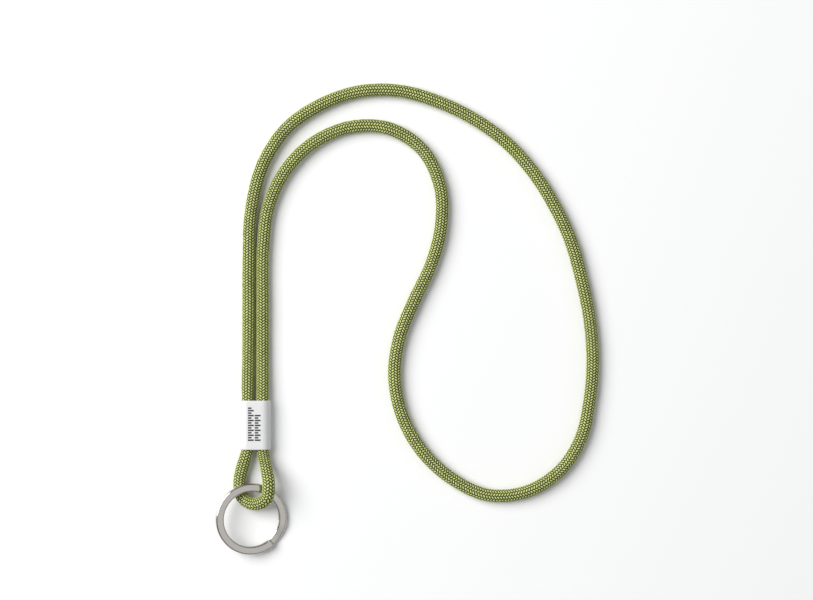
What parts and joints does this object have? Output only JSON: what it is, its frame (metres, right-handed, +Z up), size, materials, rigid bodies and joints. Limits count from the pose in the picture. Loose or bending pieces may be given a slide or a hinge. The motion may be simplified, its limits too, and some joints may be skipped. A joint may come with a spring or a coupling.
{
  "type": "lanyard",
  "caption": "Neck lanyard of round braided cord, with a crimped metal sleeve, a short key loop and a split ring, lying flat.",
  "frame": {"origin": "middle of the sleeve's underside, which lies on the ground with the whole lanyard", "axes": "+Y along the sleeve from the key ring towards the neck loop, +Z up from the ground, +X to the right seen from above"},
  "size_m": [0.1717, 0.2113, 0.0121],
  "materials": {
    "sleeve_lacquer": "satin white lacquer on aluminium",
    "printed_ink": "matte black printing ink",
    "braid": "braided polyester yarn, soft sheen",
    "core_yarn": "plain undyed yarn",
    "melted_yarn": "melted and set yarn",
    "ring_steel": "nickel plated spring steel, finely brushed"
  },
  "bodies": {
    "neck": {"crimp_sleeve": "sleeve_lacquer", "sleeve_print": "printed_ink", "neck_sheath": "braid", "neck_core": "core_yarn", "tail_sheath": "braid", "tail_core": "core_yarn", "end_seals": "melted_yarn"},
    "key_loop": {"loop_sheath": "braid", "loop_core": "core_yarn"},
    "ring": {"split_ring": "ring_steel"},
    "ring_coil": {"split_ring_free_coil": "ring_steel"}
  },
  "joints": [
    {"name": "loop_flex", "type": "hinge", "parent": "neck", "child": "key_loop", "pos_m": [0, -0.0144, 0.0037], "axis": [1, 0, 0], "range_deg": [-60, 0]},
    {"name": "ring_swivel", "type": "hinge", "parent": "key_loop", "child": "ring", "pos_m": [-0.0009, -0.028, 0.0052], "axis": [0, 1, 0], "range_deg": [0, 90]},
    {"name": "ring_open", "type": "hinge", "parent": "ring", "child": "ring_coil", "pos_m": [-0.01186, -0.03033, 0.00885], "axis": [-0.7252, -0.6739, 0.141], "range_deg": [0, 7], "stiffness_Nm_per_rad": 0.5}
  ]
}
